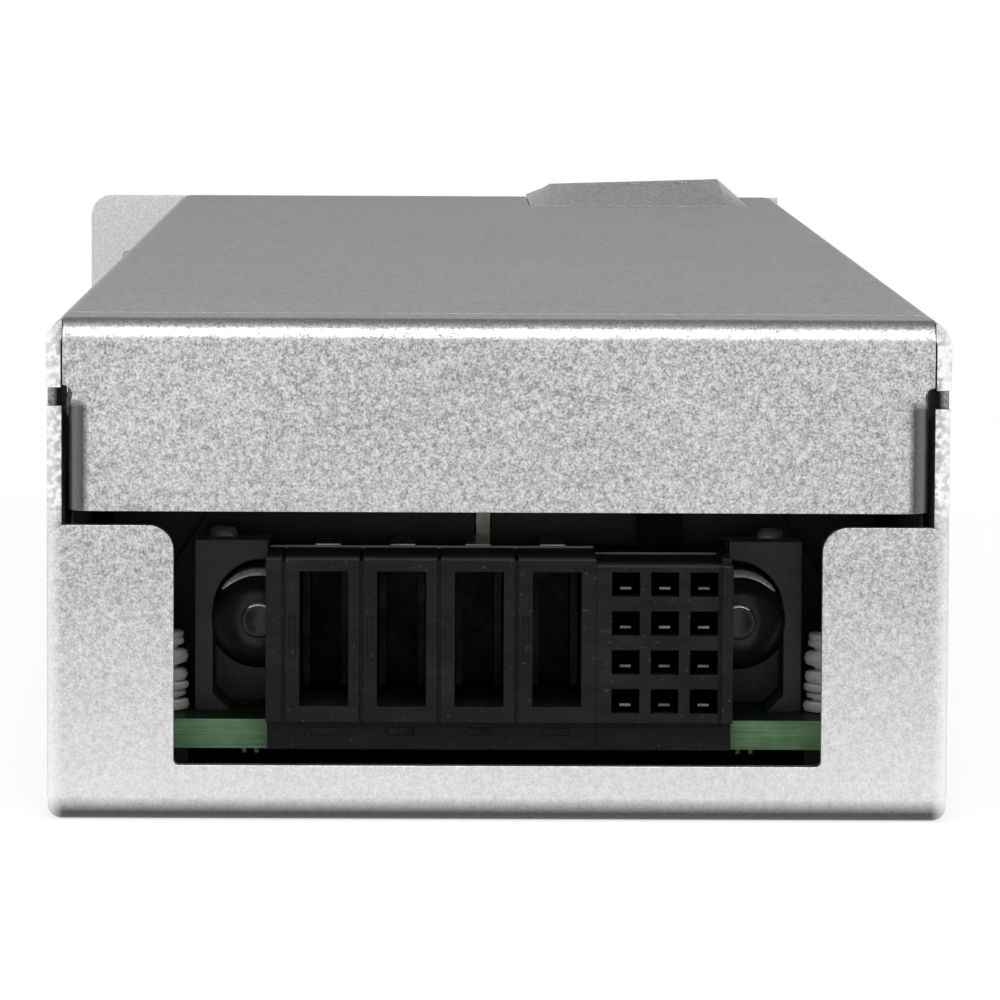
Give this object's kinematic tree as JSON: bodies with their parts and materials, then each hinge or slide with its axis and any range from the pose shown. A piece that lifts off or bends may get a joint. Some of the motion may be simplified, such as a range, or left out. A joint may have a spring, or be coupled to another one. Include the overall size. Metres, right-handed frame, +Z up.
{
  "type": "hot swap server power supply",
  "caption": "Slim sheet-steel server power module with a blind-mate output connector at one end and a mains inlet, fan, sprung latch and pull bail at the other.",
  "frame": {"origin": "middle of the tray's underside", "axes": "+Z up; +Y from the output connector end towards the mains end; +X to the right when looking at the output connector"},
  "size_m": [0.0837, 0.2715, 0.0432],
  "materials": {
    "galvanised_steel": "galvanised sheet with a fine bright grain",
    "spring_steel": "rolled spring strip, satin",
    "zinc_screw": "zinc plated",
    "nickel": "bright nickel plate",
    "black_nylon": "glass-filled nylon, moulded",
    "fan_plastic": "moulded, satin",
    "contact_tin": "tin over copper alloy",
    "film": "black insulating film",
    "board_green": "glass-epoxy laminate edge and solder mask",
    "can_sleeve": "shrunk sleeve",
    "copper": "bare copper, slightly tarnished",
    "copper_wire": "enamelled wire",
    "ferrite": "sintered, dull",
    "tape": "polyester tape",
    "aluminium": "extruded, bare",
    "package": "moulded epoxy",
    "glass_tube": "ceramic tube with caps",
    "lead_sleeve": "insulated lead",
    "lamp_lens": "clear diffused lens"
  },
  "bodies": {
    "case": {"ac_end_panel": "galvanised_steel", "bail_brackets": "galvanised_steel", "board_locks": "contact_tin", "board_nuts": "nickel", "board_screws": "zinc_screw", "board_standoffs": "nickel", "board_washers": "nickel", "bracket_rivets": "zinc_screw", "bridge_rectifier": "package", "bulk_capacitors": "can_sleeve", "bus_bars": "copper", "chassis_tray": "galvanised_steel", "control_card": "board_green", "control_chips": "package", "cover_screws": "zinc_screw", "ear_screws": "zinc_screw", "emi_choke_core": "ferrite", "emi_choke_winding": "copper_wire", "fan_frame": "fan_plastic", "fan_screws": "zinc_screw", "front_barrier": "film", "guide_housings": "black_nylon", "heatsinks": "aluminium", "inlet_housing": "black_nylon", "inlet_leads": "lead_sleeve", "inlet_pins": "contact_tin", "insulator_liner": "film", "line_fuse": "glass_tube", "main_board": "board_green", "output_capacitors": "can_sleeve", "panel_screws": "zinc_screw", "pfc_choke_core": "ferrite", "pfc_choke_winding": "copper_wire", "power_contacts": "contact_tin", "power_housing": "black_nylon", "power_tails": "contact_tin", "power_transistors": "package", "relay": "package", "signal_contacts": "contact_tin", "signal_housing": "black_nylon", "signal_tails": "contact_tin", "status_led": "lamp_lens", "top_cover": "galvanised_steel", "transformer_core": "ferrite", "transformer_windings": "tape", "x_capacitor": "tape"},
    "latch": {"latch_tongue": "spring_steel"},
    "side_leaf": {"side_spring": "spring_steel"},
    "bail": {"pull_bail": "galvanised_steel"},
    "rotor": {"fan_rotor": "fan_plastic"}
  },
  "joints": [
    {"name": "latch_press", "type": "hinge", "parent": "case", "child": "latch", "pos_m": [0.0189, 0.1035, 0.0406], "axis": [1, 0, 0], "range_deg": [-3, 0], "stiffness_Nm_per_rad": 20},
    {"name": "side_leaf_press", "type": "hinge", "parent": "case", "child": "side_leaf", "pos_m": [-0.0364, -0.0145, 0.0375], "axis": [0, 0, 1], "range_deg": [-1.5, 0], "stiffness_Nm_per_rad": 6},
    {"name": "bail_swing", "type": "hinge", "parent": "case", "child": "bail", "pos_m": [-0.0161, 0.1367, 0.026], "axis": [1, 0, 0], "range_deg": [0, 100]},
    {"name": "fan_spin", "type": "hinge", "parent": "case", "child": "rotor", "pos_m": [-0.0161, 0.1185, 0.0202], "axis": [0, 1, 0], "continuous": true}
  ]
}
